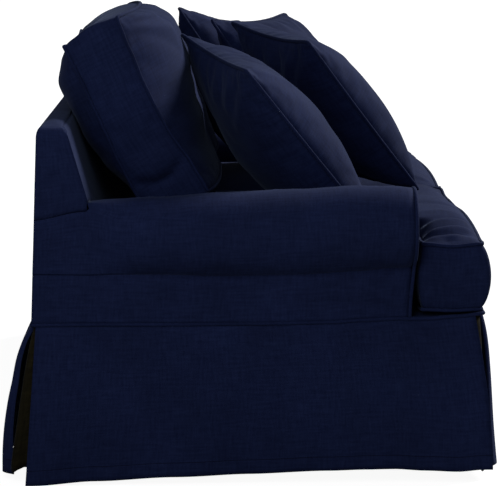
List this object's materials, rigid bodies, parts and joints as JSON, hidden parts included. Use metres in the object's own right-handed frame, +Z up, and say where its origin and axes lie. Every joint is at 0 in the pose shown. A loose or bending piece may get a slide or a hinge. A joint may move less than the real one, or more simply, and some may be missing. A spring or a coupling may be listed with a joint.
{
  "type": "sofa slipcover set",
  "caption": "Navy slipcover for a rolled-arm sofa with a kick-pleated skirt, T-shaped seat cushions, loose back cushions and square throw pillows.",
  "frame": {"origin": "on the floor under the middle of the cover's outline, half way between its arms and half way between its front and back hems", "axes": "+Z up, +X along the sofa from the left arm to the right arm as seen from the front, -Y towards the front of the seat"},
  "size_m": [2.1658, 1.083, 1.0157],
  "materials": {
    "cloth": "matte",
    "piping": "matte"
  },
  "bodies": {
    "root": {"outside_back": "cloth", "inside_back": "cloth", "inside_back_over_arm_left": "cloth", "inside_back_over_arm_right": "cloth", "back_top_band": "cloth", "back_side_left": "cloth", "back_side_right": "cloth", "seat_deck": "cloth", "deck_border": "cloth", "arm_wrap_left": "cloth", "arm_wrap_right": "cloth", "outer_arm_left": "cloth", "outer_arm_right": "cloth", "arm_front_left": "cloth", "arm_front_right": "cloth", "arm_front_piping_left": "piping", "arm_front_piping_right": "piping", "skirt_seam_piping": "piping", "skirt_front": "cloth", "skirt_back": "cloth", "skirt_left": "cloth", "skirt_right": "cloth", "kick_pleat_front_left": "cloth", "kick_pleat_front_right": "cloth", "kick_pleat_back_left": "cloth", "kick_pleat_back_right": "cloth", "seat_cushion_left": "cloth", "seat_cushion_left_piping_top": "piping", "seat_cushion_left_piping_bottom": "piping", "seat_cushion_right": "cloth", "seat_cushion_right_piping_top": "piping", "seat_cushion_right_piping_bottom": "piping", "back_cushion_left": "cloth", "back_cushion_left_piping_front": "piping", "back_cushion_left_piping_back": "piping", "back_cushion_right": "cloth", "back_cushion_right_piping_front": "piping", "back_cushion_right_piping_back": "piping", "pillow_arm_left": "cloth", "pillow_arm_left_piping": "piping", "pillow_mid_left": "cloth", "pillow_mid_left_piping": "piping", "pillow_mid_right": "cloth", "pillow_mid_right_piping": "piping", "pillow_arm_right": "cloth", "pillow_arm_right_piping": "piping"}
  },
  "joints": []
}
